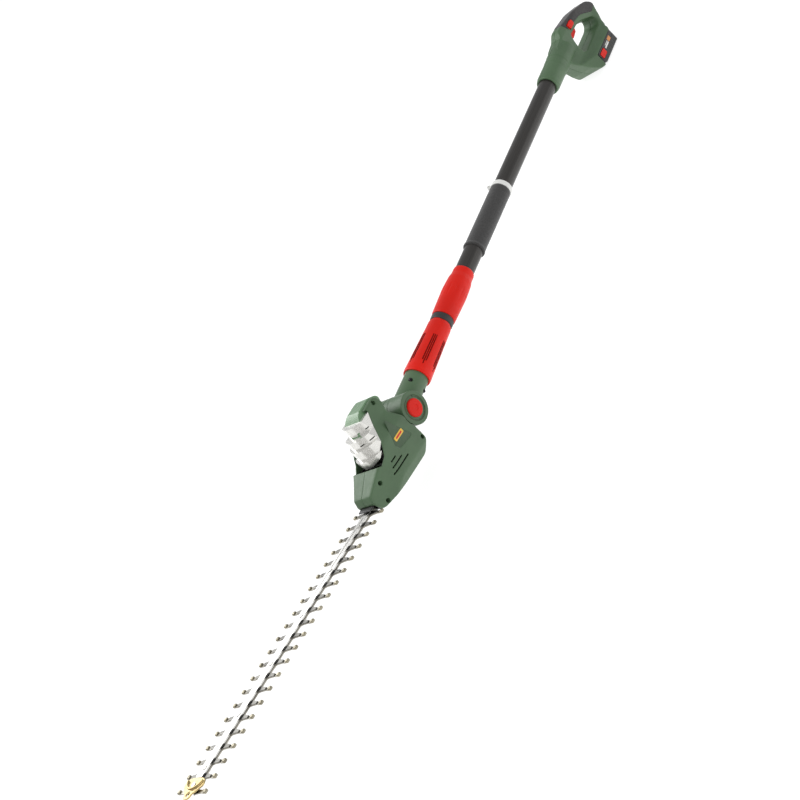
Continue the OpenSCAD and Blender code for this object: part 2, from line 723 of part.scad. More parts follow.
module label_recess(depth) {
    for (s = [-1, 1])
        mirror([0, s > 0 ? 0 : 1, 0]) side(head_half_w - depth, head_half_w + 5)
            offset(delta = 0.2) polygon(rounded(label_outline));
}
module head_shell_left() { color(green) in_head() left_half() head_solid(); }
module head_shell_right() { color(green) in_head() right_half() head_solid(); }
module dome_cover() {
    color([0.40, 0.62, 0.42]) in_head() difference() {
        dome_zone();
        intersection() {
            side(-60, 60) polygon(rounded(dome_room));
            front(0, 200) offset(delta = -shell_wall) polygon(rounded(dome_front));
            plan() offset(delta = -shell_wall) polygon(rounded(dome_plan));
        }
    }
}
module vent_cover() {
    color(silver) in_head() difference() {
        intersection() {
            cover_tiers(0);
            side(-60, 60) polygon(rounded(cover_edge));
            front(10, 200) polygon(rounded(head_front));
        }
        intersection() {
            cover_tiers(cover_wall);
            front(10, 200) offset(delta = -cover_wall) polygon(rounded(head_front));
        }
        dome_zone();
        for (m = [0, 1]) mirror([0, m, 0])
            for (v = [[88, 93, 46], [98, 106, 46], [96, 104, 30], [108, 116, 30]])
                translate([v[0], 8, v[2] - 1]) cube([v[1] - v[0], 52, 2]);
    }
}
module label_plate() {
    color([0.9, 0.8, 0.2]) in_head() side(head_half_w - 1.2, head_half_w - 0.2) translate([64, -1])
        polygon(rounded([[-13, -4, 2], [13, -4, 2], [13, 4, 2], [-13, 4, 2]]));
}
module head_screws() { color(dark) in_head() at_head_screws() translate([0, 12, 0]) screw(1.7, 3.6, 20); }
module motor_can() {
    color(steel) in_head() translate([motor_x, 0, 0]) difference() {
        rod_z(can_z, can_z + can_h, motor_r, 64);
        rod_z(can_z + 2, can_z + can_h - 2, motor_r - 1.5, 64);
        rod_z(can_z - 1, can_z + can_h + 1, 2.5 + fit, 32);
    }
}
module gear_shape(teeth, t) {
    r = gear_module * teeth / 2;
    flank = [[-0.3, -1.15], [-0.15, 0.95], [0.15, 0.95], [0.3, -1.15]];
    linear_extrude(t) polygon([for (i = [0:teeth - 1]) for (k = flank)
        let(a = 360 * (i + k[0]) / teeth, q = r + gear_module * k[1]) q * [cos(a), sin(a)]]);
}
module motor_rotor() {
    color([0.5, 0.42, 0.3]) in_head() translate([motor_x, 0, 0]) {
        rod_z(gear_z - 1, can_z + can_h + 4, 2.5, 32);
        rod_z(can_z + 6, can_z + can_h - 8, motor_r - 4, 48);
        translate([0, 0, gear_z]) gear_shape(pinion_teeth, gear_t);
        difference() {
            rod_z(can_z + can_h + 1, can_z + can_h + 7, 15, 48);
            for (a = [0:45:315]) rotate([0, 0, a])
                translate([6, -1.6, can_z + can_h + 2.6]) cube([12, 7, 5]);
        }
    }
}
module motor_plate() {
    color(steel) in_head() difference() {
        translate([motor_x - 21, -21, deck_z]) cube([gear_x - motor_x + 42, 42, deck_t]);
        translate([motor_x, 0, 0]) rod_z(deck_z - 1, deck_z + deck_t + 1, 6, 32);
        translate([gear_x, 0, 0]) rod_z(deck_z - 1, deck_z + deck_t + 1, 6, 32);
    }
}
module gear_plate() {
    color(steel) in_head() difference() {
        union() {
            translate([motor_x - 21, -26, plate_z]) cube([gear_x - motor_x + 62, 52, plate_t]);
            for (x = [motor_x - 18, gear_x + 17]) for (y = [-18, 18])
                translate([x, y, 0]) rod_z(plate_z, deck_z, 2.9, 32);
        }
        translate([gear_x, 0, 0]) rod_z(plate_z - 1, plate_z + plate_t + 1, 7, 48);
    }
}
module gear_bushes() {
    color(brass) in_head() translate([gear_x, 0, 0]) {
        difference() {
            rod_z(plate_z, plate_z + plate_t, 7, 48);
            rod_z(plate_z - 1, plate_z + plate_t + 1, 4 + fit, 48);
        }
        difference() {
            rod_z(deck_z, deck_z + deck_t, 6, 48);
            rod_z(deck_z - 1, deck_z + deck_t + 1, 4 + fit, 48);
        }
    }
}
module drive_gear() {
    color([0.62, 0.60, 0.56]) in_head() translate([gear_x, 0, 0]) {
        difference() {
            translate([0, 0, gear_z]) rotate([0, 0, 180 / gear_teeth]) gear_shape(gear_teeth, gear_t - 1);
            for (a = [0:60:300]) rotate([0, 0, a]) translate([11, 0, 0])
                rod_z(gear_z - 1, gear_z + gear_t, 3, 32);
        }
        rod_z(plate_z - 3, deck_z + deck_t, 4, 48);
        rod_z(plate_z - 5.4, plate_z - 1, 11, 48);
        translate([0, throw, 0]) rod_z(comb_z - 1, plate_z - 4, pin_r, 48);
    }
}
module blade_shroud() {
    color(dark) in_head() difference() {
        side(-16, 16) polygon([[164, comb_z - 4], [172.5, comb_z - 4], [172.5, comb_z + 8], [190, comb_z + 8],
            [188, comb_z + 10], [176, comb_z + 11], [164, comb_z + 11]]);
        translate([140, -13, comb_z - 1.4]) cube([60, 26, 9]);
    }
}

/* ---------- blades ---------- */

// One tooth in plan, pointing along +Y, from its rear foot to its front foot
comb_tooth = rounded([
    [-5.5, rail_w / 2, 0], [-4, 12, 3], [-2.6, 24, 3], [-3.4, 28, 3], [-3.2, comb_half_w, 3],
    [3.2, comb_half_w, 3], [3.4, 28, 3], [2.6, 24, 3], [4, 12, 3], [5.5, rail_w / 2, 0]], 3);
cutter_tooth = rounded([
    [-6, rail_w / 2, 0], [-4.4, 11, 1], [-2.3, cutter_half_w, 0.8], [2.3, cutter_half_w, 0.8],
    [4.4, 11, 1], [6, rail_w / 2, 0]], 3);
// The teeth of a blade, along both sides of its bar
module teeth(tooth, count, z, t) {
    for (i = [0:count - 1]) for (m = [0, 1]) mirror([0, m, 0])
        translate([first_tooth_x + i * tooth_pitch, 0, z]) linear_extrude(t) polygon(tooth);
}
// A blade's bar: a wide tang inside the head, then a straight strip
module bar(tang_x0, tang_x1, tang_y, end_x) {
    h = rail_w / 2;
    polygon([[tang_x0, tang_y], [tang_x1, tang_y], [tang_x1, h], [end_x, h], [end_x, -h], [tang_x1, -h],
        [tang_x1, -tang_y], [tang_x0, -tang_y]]);
}
module bolt_holes(r, slot) {
    for (x = concat(bolt_x, [tip_screw_x])) translate([x, 0]) {
        translate([-slot, 0]) circle(r = r, $fn = 32);
        translate([slot, 0]) circle(r = r, $fn = 32);
        translate([-slot, -r]) square([2 * slot + 0.001, 2 * r]);
    }
}
module blade_window() {
    translate([gear_x - window_x, -window_y]) square([2 * window_x, 2 * window_y]);
}
module comb_blade() {
    color(steel) in_head() translate([0, 0, comb_z]) linear_extrude(comb_t) difference() {
        bar(motor_x - 18, gear_x + window_x + 24, window_y + 6, comb_end);
        blade_window();
        bolt_holes(bolt_r, 0);
    }
}
module comb_teeth() { color(steel) in_head() teeth(comb_tooth, tooth_count, comb_z, comb_t); }
module moving_blade() {
    color(steel) in_head() translate([0, 0, cutter_z]) linear_extrude(cutter_t) difference() {
        bar(gear_x - window_x - 7, gear_x + window_x + 7, window_y + 5, cutter_end);
        blade_window();
        bolt_holes(bolt_r + 0.6, throw + 0.4);
    }
}
module moving_teeth() { color(steel) in_head() teeth(cutter_tooth, tooth_count - 1, cutter_z, cutter_t); }
module guide_rail() {
    color(steel) in_head() difference() {
        translate([152, -rail_w / 2, rail_z]) cube([rail_end - 152, rail_w, rail_t]);
        translate([0, 0, rail_z - 1]) linear_extrude(rail_t + 2) bolt_holes(bolt_r, 0);
    }
}
module blade_bolt(x) {
    translate([x, 0, 0]) {
        rod_z(comb_z - 2.6, rail_z + rail_t, bolt_r, 32);
        translate([0, 0, comb_z - 2.6]) cylinder(h = 2.6, r = 4.4, $fn = 6);
        rod_z(rail_z + rail_t, rail_z + rail_t + 0.9, 4, 32);
    }
}
module rail_bolts() { color(steel) in_head() for (x = bolt_x) blade_bolt(x); }
module tip_screw() {
    color(steel) in_head() {
        blade_bolt(tip_screw_x);
        translate([tip_screw_x, 0, 0]) rod_z(comb_z + comb_t, rail_z, 3.6, 32);
    }
}
// The tip guard lies on the blade's end in the rail's plane, with a tongue to hang the tool by
guard_outline = [
    [0, 13, 3], [3, 21, 4], [12, 26, 6], [23, 15, 8], [27, 8.5, 4], [36, 8.5, 6.5], [36, -8.5, 6.5],
    [27, -8.5, 4], [23, -15, 8], [12, -26, 6], [3, -21, 4], [0, -13, 3]];
module tip_guard() {
    color(brass) in_head() difference() {
        union() {
            translate([0, 0, rail_z]) linear_extrude(rail_t) polygon(rounded(shift_x(guard_outline, guard_x)));
            intersection() {
                translate([guard_x - 1, 0, 0]) difference() {
                    rod_z(rail_z + rail_t, rail_z + rail_t + guard_rim, 21.5, 96);
                    rod_z(rail_z, rail_z + rail_t + guard_rim + 1, 18.8, 96);
                }
                translate([guard_x + 5, -20, rail_z]) cube([30, 40, 20]);
            }
        }
        translate([hang_x, 0, 0]) rod_z(rail_z - 1, rail_z + rail_t + 1, hang_r, 48);
        translate([tip_screw_x, 0, 0]) rod_z(rail_z - 1, rail_z + rail_t + 1, bolt_r, 32);
    }
}

handle_shell_left();
handle_shell_right();
soft_grip();
handle_screws();
switch_module();
terminal_block();
trigger();
trigger_spring();
lock_off_button();
outer_tube();
foam_grip();
strap_band();
clamp_collet();
clamp_sleeve();
wiper_ring();
coiled_lead();
inner_tube();
slide_bush();
threaded_spigot();
coupling_nut();
neck_left();
neck_right();
neck_screws();
detent_ring();
pivot_hub();
hub_ring();
tilt_button();
tilt_spring();
head_shell_left();
head_shell_right();
dome_cover();
vent_cover();
label_plate();
head_screws();
motor_can();
motor_rotor();
motor_plate();
gear_plate();
gear_bushes();
drive_gear();
blade_shroud();
comb_blade();
comb_teeth();
moving_blade();
moving_teeth();
guide_rail();
rail_bolts();
tip_guard();
tip_screw();
battery_case();
battery_lid();
battery_cells();
latch_left();
latch_right();
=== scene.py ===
"""A cordless pole hedge trimmer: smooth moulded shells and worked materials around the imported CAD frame."""

import json
import math

import bmesh
import bpy
from mathutils import Matrix, Vector


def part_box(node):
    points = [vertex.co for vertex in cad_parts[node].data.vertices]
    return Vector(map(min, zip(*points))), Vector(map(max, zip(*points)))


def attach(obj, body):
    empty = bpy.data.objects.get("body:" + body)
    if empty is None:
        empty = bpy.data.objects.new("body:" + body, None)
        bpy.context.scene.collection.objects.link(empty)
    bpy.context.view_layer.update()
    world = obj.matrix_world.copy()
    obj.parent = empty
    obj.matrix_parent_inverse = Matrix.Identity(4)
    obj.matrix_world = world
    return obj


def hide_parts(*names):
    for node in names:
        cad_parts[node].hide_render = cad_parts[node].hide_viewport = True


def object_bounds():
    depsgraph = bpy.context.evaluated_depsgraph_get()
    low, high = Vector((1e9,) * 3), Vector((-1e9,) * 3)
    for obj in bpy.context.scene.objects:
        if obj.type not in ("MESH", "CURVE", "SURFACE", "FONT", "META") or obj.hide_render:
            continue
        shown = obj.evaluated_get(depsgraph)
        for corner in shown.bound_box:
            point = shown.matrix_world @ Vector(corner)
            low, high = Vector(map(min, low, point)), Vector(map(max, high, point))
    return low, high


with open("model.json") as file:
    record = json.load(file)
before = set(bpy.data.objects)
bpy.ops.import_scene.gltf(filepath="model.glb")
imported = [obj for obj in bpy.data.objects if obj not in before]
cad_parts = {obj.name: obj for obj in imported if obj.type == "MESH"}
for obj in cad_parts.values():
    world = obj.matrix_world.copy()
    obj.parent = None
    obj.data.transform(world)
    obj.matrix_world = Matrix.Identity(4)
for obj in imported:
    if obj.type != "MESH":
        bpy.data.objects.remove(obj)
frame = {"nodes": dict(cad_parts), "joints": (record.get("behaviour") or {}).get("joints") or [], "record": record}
cad_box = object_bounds()
MM = 0.001
scene = bpy.context.scene
joints = {j["name"]: j for j in frame["joints"]}

# The cutting head's own frame: origin on the tilt axis, X along the blade
PIVOT = Vector(joints["head_tilt"]["pos_m"])
BLADE_AXIS = Vector(joints["blade_stroke"]["axis"])
TILT = math.atan2(BLADE_AXIS.z, BLADE_AXIS.x)
HEAD = Matrix.Translation(PIVOT) @ Matrix.Rotation(-TILT, 4, "Y")
ROW = Matrix.Identity(4)

# Places that other pieces are set out from
MOUTH_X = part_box("handle_shell_left")[1].x
TUBE_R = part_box("outer_tube")[1].z
BATTERY_LOW, BATTERY_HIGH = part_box("battery_case")
FLOOR_Z = cad_box[0][2]


# ---------- camera ----------

def look(position, right, up, lens):
    """The scene's camera, from its place, its picture's right and up directions and its lens."""
    camera = bpy.data.objects.new("camera", bpy.data.cameras.new("camera"))
    right, up = Vector(right).normalized(), Vector(up).normalized()
    back = right.cross(up).normalized()
    up = back.cross(right)
    turn = Matrix((right, up, back)).transposed().to_4x4()
    camera.matrix_world = Matrix.Translation(Vector(position)) @ turn
    camera.data.lens = lens
    camera.data.clip_end = 200
    scene.collection.objects.link(camera)
    scene.camera = camera
    return camera


look((1.9168, 1.7765, 0.9414), (-0.3492, 0.6164, -0.7058), (-0.7722, 0.2374, 0.5894), 64.3)


# ---------- materials ----------

class Shader:
    """A Principled material with noise for its colour, roughness and fine relief."""

    def __init__(self, name, colour, metallic=0.0, roughness=0.5, coat=0.0, specular=0.5):
        self.material = bpy.data.materials.new(name)
        self.material.use_nodes = True
        self.tree = self.material.node_tree
        self.bsdf = self.tree.nodes["Principled BSDF"]
        self.bsdf.inputs["Base Color"].default_value = (*colour, 1)
        self.bsdf.inputs["Metallic"].default_value = metallic
        self.bsdf.inputs["Roughness"].default_value = roughness
        self.bsdf.inputs["Coat Weight"].default_value = coat
        self.bsdf.inputs["Coat Roughness"].default_value = 0.12
        self.bsdf.inputs["Specular IOR Level"].default_value = specular
        self.place = self.add("ShaderNodeTexCoord").outputs["Object"]
        self.relief = None

    def add(self, kind, **values):
        made = self.tree.nodes.new(kind)
        for key, value in values.items():
            if key in made.inputs:
                made.inputs[key].default_value = value
            else:
                setattr(made, key, value)
        return made

    def link(self, source, target):
        self.tree.links.new(source, target)

    def noise(self, per_metre, detail=3.0, stretch=(1, 1, 1), turn=0.0):
        """Noise with that many features in a metre; stretch above 1 packs them closer along that axis."""
        mapping = self.add("ShaderNodeMapping")
        mapping.inputs["Rotation"].default_value = (0, turn, 0)
        mapping.inputs["Scale"].default_value = stretch
        self.link(self.place, mapping.inputs["Vector"])
        made = self.add("ShaderNodeTexNoise", Scale=per_metre, Detail=detail)
        self.link(mapping.outputs[0], made.inputs["Vector"])
        return made.outputs["Fac"]

    def ramp(self, fac, stops):
        made = self.add("ShaderNodeValToRGB")
        made.color_ramp.elements[0].position, made.color_ramp.elements[0].color = stops[0][0], (*stops[0][1], 1)
        made.color_ramp.elements[1].position, made.color_ramp.elements[1].color = stops[-1][0], (*stops[-1][1], 1)
        for position, colour in stops[1:-1]:
            made.color_ramp.elements.new(position).color = (*colour, 1)
        self.link(fac, made.inputs["Fac"])
        return made.outputs["Color"]

    def colours(self, fac, stops):
        self.link(self.ramp(fac, stops), self.bsdf.inputs["Base Color"])
        return self

    def rough(self, fac, low, high):
        made = self.add("ShaderNodeMapRange")
        made.inputs["From Min"].default_value, made.inputs["From Max"].default_value = 0.3, 0.7
        made.inputs["To Min"].default_value, made.inputs["To Max"].default_value = low, high
        self.link(fac, made.inputs["Value"])
        self.link(made.outputs[0], self.bsdf.inputs["Roughness"])
        return self

    def bump(self, height, depth):
        """Adds relief of about that depth, in metres."""
        made = self.add("ShaderNodeBump", Strength=1.0, Distance=depth)
        self.link(height, made.inputs["Height"])
        if self.relief:
            self.link(self.relief, made.inputs["Normal"])
        self.relief = made.outputs["Normal"]
        self.link(self.relief, self.bsdf.inputs["Normal"])
        return self


def mixed(colour, factor):
    return tuple(min(1.0, c * factor) for c in colour)


def moulded_plastic(name, colour, low, high, spark=1500, depth=0.00006, coat=0.0, vary=0.16, specular=0.5):
    """Spark-eroded moulded plastic: slow tone drift, fine grain and uneven gloss."""
    s = Shader(name, colour, coat=coat, specular=specular)
    s.colours(s.noise(14, 4), [(0.3, mixed(colour, 1 - vary)), (0.5, colour), (0.72, mixed(colour, 1 + vary))])
    s.rough(s.noise(160, 5), low, high)
    s.bump(s.noise(spark, 2), depth)
    s.bump(s.noise(60, 2), 0.0002)
    return s.material


def worked_metal(name, colour, low, high, across=900, along=12, turn=0.0, vary=0.12, depth=0.00004):
    """Metal with fine lines along X, turned into the head's frame where asked."""
    s = Shader(name, colour, metallic=1.0)
    lines = s.noise(1.0, 4, (along, across, across), turn)
    s.colours(s.noise(30, 5), [(0.28, mixed(colour, 1 - 2 * vary)), (0.5, colour), (0.75, mixed(colour, 1 + vary))])
    s.rough(lines, low, high)
    s.bump(lines, depth)
    return s.material


GREEN = (0.074, 0.136, 0.066)
# The dome's green is the shell's green made lighter: painted light for its upward-facing, brightly lit top.
DOME_LIT_GREEN = (0.15, 0.28, 0.14)
RED = (0.72, 0.012, 0.004)

green = moulded_plastic("green_shell", GREEN, 0.36, 0.48)
dome_lit_green = moulded_plastic("dome_painted_light_green", DOME_LIT_GREEN, 0.20, 0.30, coat=0.35)
dark_green = moulded_plastic("badge_field", mixed(GREEN, 0.72), 0.42, 0.55, spark=3000, depth=0.0001)
red = moulded_plastic("red_plastic", RED, 0.32, 0.44, vary=0.1, specular=0.22)
dark = moulded_plastic("dark_plastic", (0.022, 0.022, 0.021), 0.35, 0.5, vary=0.25)
battery_black = moulded_plastic("battery_plastic", (0.030, 0.030, 0.029), 0.38, 0.55, vary=0.25, depth=0.0001)
# Near-black for the plates behind the air slots: painted shade inside the head.
slot_shade_black = moulded_plastic("slot_shade_plastic", (0.006, 0.006, 0.006), 0.5, 0.6, vary=0.2)
white = moulded_plastic("white_plastic", (0.80, 0.80, 0.77), 0.3, 0.4, vary=0.04)
wrap = moulded_plastic("cell_wrap", (0.06, 0.20, 0.45), 0.2, 0.3, vary=0.1)
yellow = moulded_plastic("badge_yellow", (0.85, 0.52, 0.06), 0.25, 0.35, vary=0.05)
# Very dark red for the strips in the nut's flutes: painted shade in the grooves.
groove_shade_red = moulded_plastic("groove_painted_shade", (0.10, 0.004, 0.003), 0.6, 0.75, vary=0.2, specular=0.1)
orange = moulded_plastic("label_orange", (0.70, 0.28, 0.08), 0.25, 0.35, vary=0.05)
badge_red = moulded_plastic("badge_red", (0.60, 0.03, 0.02), 0.25, 0.35, vary=0.05)
lead = moulded_plastic("lead_rubber", (0.015, 0.015, 0.015), 0.5, 0.65)

steel = worked_metal("machined_steel", (0.50, 0.50, 0.51), 0.28, 0.42)
bright_tube = worked_metal("bright_tube", (0.70, 0.71, 0.73), 0.16, 0.26, across=1400, along=4)
spring = worked_metal("spring_wire", (0.52, 0.52, 0.54), 0.25, 0.35)
bronze = worked_metal("sintered_bronze", (0.55, 0.34, 0.14), 0.35, 0.5)
blackened = worked_metal("blackened_steel", (0.035, 0.035, 0.036), 0.35, 0.5, vary=0.3)
rail_steel = worked_metal("rail_steel", (0.66, 0.65, 0.62), 0.14, 0.30, across=1600, along=3, turn=TILT, vary=0.05)


def rubber():
    """Soft-touch over-mould: fine pebbled skin with a dusty sheen."""
    colour = (0.030, 0.028, 0.027)
    s = Shader("soft_rubber", colour, specular=0.35)
    s.bsdf.inputs["Sheen Weight"].default_value = 0.25
    s.bsdf.inputs["Sheen Roughness"].default_value = 0.5
    s.colours(s.noise(40, 4), [(0.3, mixed(colour, 0.75)), (0.7, mixed(colour, 1.35))])
    s.rough(s.noise(300, 3), 0.55, 0.72)
    cells = s.add("ShaderNodeTexVoronoi", Scale=1100.0)
    s.link(s.place, cells.inputs["Vector"])
    s.bump(cells.outputs["Distance"], 0.00012)
    return s.material


def foam():
    """Closed-cell foam sleeve: small open pores in a skinned surface."""
    colour = (0.040, 0.039, 0.038)
    s = Shader("closed_foam", colour, specular=0.3)
    s.bsdf.inputs["Sheen Weight"].default_value = 0.3
    s.colours(s.noise(500, 4), [(0.25, mixed(colour, 0.6)), (0.5, colour), (0.8, mixed(colour, 1.4))])
    s.rough(s.noise(700, 3), 0.55, 0.8)
    pores = s.add("ShaderNodeTexVoronoi", Scale=750.0)
    s.link(s.place, pores.inputs["Vector"])
    s.bump(pores.outputs["Distance"], 0.00018)
    s.bump(s.noise(2400, 2), 0.00008)
    return s.material


def painted_tube():
    """Warm dark lacquer on drawn tube: faint lengthwise draw lines and orange peel under a satin coat."""
    colour = (0.034, 0.031, 0.028)
    s = Shader("tube_lacquer", colour, metallic=0.2, coat=0.15, specular=0.4)
    s.colours(s.noise(1.0, 4, (3, 500, 500)), [(0.3, mixed(colour, 0.8)), (0.7, mixed(colour, 1.25))])
    s.rough(s.noise(1.0, 4, (6, 900, 900)), 0.26, 0.40)
    s.bump(s.noise(1.0, 3, (4, 700, 700)), 0.00003)
    s.bump(s.noise(420, 2), 0.00003)
    return s.material


def silver_paint():
    """Silver paint with metal flake under lacquer."""
    colour = (0.78, 0.77, 0.73)
    s = Shader("silver_paint", colour, metallic=0.75, coat=0.5)
    flakes = s.add("ShaderNodeTexVoronoi", Scale=5200.0)
    s.link(s.place, flakes.inputs["Vector"])
    s.colours(flakes.outputs["Distance"], [(0.0, mixed(colour, 1.12)), (0.5, colour), (1.0, mixed(colour, 0.85))])
    s.rough(s.noise(220, 4), 0.22, 0.34)
    s.bump(s.noise(900, 2), 0.00002)
    return s.material


def blade_steel(name, colour, dark_part):
    """Ground blade steel with an oily straw-brown bloom and grinding lines across the teeth."""
    s = Shader(name, colour, metallic=1.0)
    bloom = s.noise(55, 5)
    s.colours(bloom, [(0.25, dark_part), (0.48, colour), (0.62, mixed(colour, 1.15)), (0.8, mixed(colour, 1.3))])
    lines = s.noise(1.0, 4, (1300, 10, 600), TILT)
    s.rough(lines, 0.24, 0.44)
    s.bump(lines, 0.00005)
    return s.material


def zinc():
    """Yellow-passivated zinc: straw gold drifting to green and rose, slightly cloudy."""
    s = Shader("yellow_zinc", (0.52, 0.40, 0.18), metallic=1.0)
    s.colours(s.noise(70, 5), [(0.25, (0.36, 0.32, 0.14)), (0.42, (0.54, 0.43, 0.20)), (0.58, (0.60, 0.46, 0.22)),
                               (0.70, (0.50, 0.34, 0.18)), (0.85, (0.40, 0.38, 0.20))])
    s.rough(s.noise(260, 4), 0.22, 0.40)
    s.bump(s.noise(800, 3), 0.00006)
    return s.material


soft_rubber, foam_skin, tube_paint, silver, gold = rubber(), foam(), painted_tube(), silver_paint(), zinc()
comb_steel = blade_steel("comb_steel", (0.34, 0.32, 0.27), (0.20, 0.18, 0.15))
cutter_steel = blade_steel("cutter_steel", (0.16, 0.155, 0.14), (0.07, 0.065, 0.06))
boss_steel = blade_steel("boss_steel", (0.34, 0.31, 0.23), (0.20, 0.18, 0.13))
# Near-black steel for the blocks behind the comb's tips: painted shadow in the gaps there.
tip_shadow_steel = blade_steel("tip_shadow_steel", (0.035, 0.034, 0.032), (0.02, 0.02, 0.02))

SLOT_MATERIALS = {
    "green_plastic": green, "red_plastic": red, "soft_rubber": soft_rubber, "foam": foam_skin,
    "tube_paint": tube_paint, "tube_metal": bright_tube, "white_band": white, "silver_plastic": silver,
    "dark_plastic": dark, "battery_plastic": battery_black, "cell_wrap": wrap, "lead_rubber": lead,
    "screw_steel": blackened, "spring_steel": spring, "machine_steel": steel, "bronze": bronze,
    "blade_steel": comb_steel, "rail_steel": rail_steel, "yellow_zinc": gold, "label": yellow,
}
NODE_SLOT = {s["node"]: s["material_slot"] for s in frame["record"]["subparts"]}
# The dome cover takes the lighter green: painted light on its top.
NODE_MATERIALS = {"dome_cover": dome_lit_green, "moving_blade": cutter_steel, "moving_teeth": cutter_steel}


def dress(obj, material):
    obj.data.materials.clear()
    obj.data.materials.append(material)


def finish_of(node):
    return NODE_MATERIALS.get(node) or SLOT_MATERIALS[NODE_SLOT[node]]


for node_name, node_object in frame["nodes"].items():
    dress(node_object, finish_of(node_name))


# ---------- mesh tools ----------

def new_piece(name, mesh, material=None):
    piece = bpy.data.objects.new(name, mesh)
    scene.collection.objects.link(piece)
    if material:
        dress(piece, material)
    return piece


def corner(before, at, after, radius, steps):
    """The points of an arc of that radius in the corner at."""
    u, w = (before - at).normalized(), (after - at).normalized()
    half = math.acos(max(-1, min(1, u.dot(w)))) / 2
    centre = at + (u + w).normalized() * radius / math.sin(half)
    first, last = at + u * radius / math.tan(half) - centre, at + w * radius / math.tan(half) - centre
    start = math.atan2(first.y, first.x)
    turn = (math.atan2(last.y, last.x) - start + 3 * math.pi) % (2 * math.pi) - math.pi
    return [centre + radius * Vector((math.cos(start + turn * i / steps), math.sin(start + turn * i / steps)))
            for i in range(steps + 1)]


def rounded(outline, steps=6):
    """An outline of (x, y, radius) corners as points, with its corners turned into arcs."""
    points = []
    for i, (x, y, radius) in enumerate(outline):
        at = Vector((x, y))
        if radius:
            before, after = Vector(outline[i - 1][:2]), Vector(outline[(i + 1) % len(outline)][:2])
            points += corner(before, at, after, radius, steps)
        else:
            points.append(at)
    return points


def prism(name, outline, low, high, plane, place=ROW, steps=6):
    """An outline in millimetres made solid from low to high. plane is the outline's two axes, such as xz."""
    a, b = ("xyz".index(c) for c in plane)
    c = 3 - a - b
    bm = bmesh.new()
    rings = []
    for level in (low, high):
        ring = []
        for p in rounded(outline, steps):
            co = [0.0, 0.0, 0.0]
            co[a], co[b], co[c] = p.x * MM, p.y * MM, level * MM
            ring.append(bm.verts.new(co))
        rings.append(ring)
    count = len(rings[0])
    bm.faces.new(rings[0])
    bm.faces.new(rings[1])
    for i in range(count):
        j = (i + 1) % count
        bm.faces.new((rings[0][i], rings[0][j], rings[1][j], rings[1][i]))
    bmesh.ops.recalc_face_normals(bm, faces=bm.faces)
    mesh = bpy.data.meshes.new(name)
    bm.to_mesh(mesh)
    bm.free()
    mesh.transform(place)
    return new_piece(name, mesh)


def lathe(name, profile, axis="x", place=ROW, segments=96):
    """A closed profile of (distance along the axis, radius) in millimetres, turned about it."""
    bm = bmesh.new()
    k = "xyz".index(axis)
    others = [i for i in range(3) if i != k]
    rings = []
    for along, radius in profile:
        if radius < 1e-6:
            co = [0.0, 0.0, 0.0]
            co[k] = along * MM
            rings.append([bm.verts.new(co)])
            continue
        ring = []
        for s in range(segments):
            angle = 2 * math.pi * s / segments
            co = [0.0, 0.0, 0.0]
            co[k] = along * MM
            co[others[0]], co[others[1]] = radius * MM * math.cos(angle), radius * MM * math.sin(angle)
            ring.append(bm.verts.new(co))
        rings.append(ring)
    for first, second in zip(rings, rings[1:] + ([] if len(rings[0]) == 1 else rings[:1])):
        for s in range(segments):
            t = (s + 1) % segments
            quad = [first[s % len(first)], first[t % len(first)], second[t % len(second)], second[s % len(second)]]
            quad = list(dict.fromkeys(quad))
            if len(quad) > 2:
                bm.faces.new(quad)
    bmesh.ops.recalc_face_normals(bm, faces=bm.faces)
    mesh = bpy.data.meshes.new(name)
    bm.to_mesh(mesh)
    bm.free()
    mesh.transform(place)
    return new_piece(name, mesh)


def settle(piece):
    """Applies a piece's modifiers."""
    bpy.context.view_layer.update()
    shape = bpy.data.meshes.new_from_object(piece.evaluated_get(bpy.context.evaluated_depsgraph_get()))
    old = piece.data
    piece.modifiers.clear()
    piece.data = shape
    bpy.data.meshes.remove(old)
    return piece


def cut(piece, other, operation="DIFFERENCE", keep=False, solver="MANIFOLD"):
    modifier = piece.modifiers.new("cut", "BOOLEAN")
    modifier.operation, modifier.object, modifier.solver = operation, other, solver
    settle(piece)
    if not keep:
        bpy.data.objects.remove(other)
    return piece


def remesh(piece, voxel):
    modifier = piece.modifiers.new("remesh", "REMESH")
    modifier.mode, modifier.voxel_size = "VOXEL", voxel * MM
    return piece


def relax(piece, rounds, factor=0.5):
    modifier = piece.modifiers.new("relax", "SMOOTH")
    modifier.iterations, modifier.factor = rounds, factor
    return piece


def thin(piece, triangles):
    """Brings a dense mesh down to about that many triangles."""
    settle(piece)
    count = sum(len(p.vertices) - 2 for p in piece.data.polygons)
    if count > triangles:
        piece.modifiers.new("thin", "DECIMATE").ratio = triangles / count
        settle(piece)
    return piece


def smooth(piece, angle=None):
    piece.data.shade_smooth()
    if angle:
        piece.data.set_sharp_from_angle(angle=math.radians(angle))
    return piece


def bevel(piece, width, segments=2, angle=35):
    modifier = piece.modifiers.new("bevel", "BEVEL")
    modifier.width, modifier.segments = width * MM, segments
    modifier.limit_method, modifier.angle_limit = "ANGLE", math.radians(angle)
    modifier.harden_normals = False
    return piece


def from_node(name, node):
    """A welded copy of a CAD node's mesh, to be reworked."""
    mesh = frame["nodes"][node].data.copy()
    bm = bmesh.new()
    bm.from_mesh(mesh)
    bmesh.ops.remove_doubles(bm, verts=bm.verts, dist=1e-6)
    bm.to_mesh(mesh)
    bm.free()
    mesh.materials.clear()
    return new_piece(name, mesh)


def body_of_node(node):
    bodies = frame["record"]["behaviour"]["bodies"]
    return next(body for body, members in bodies.items() if node in members)


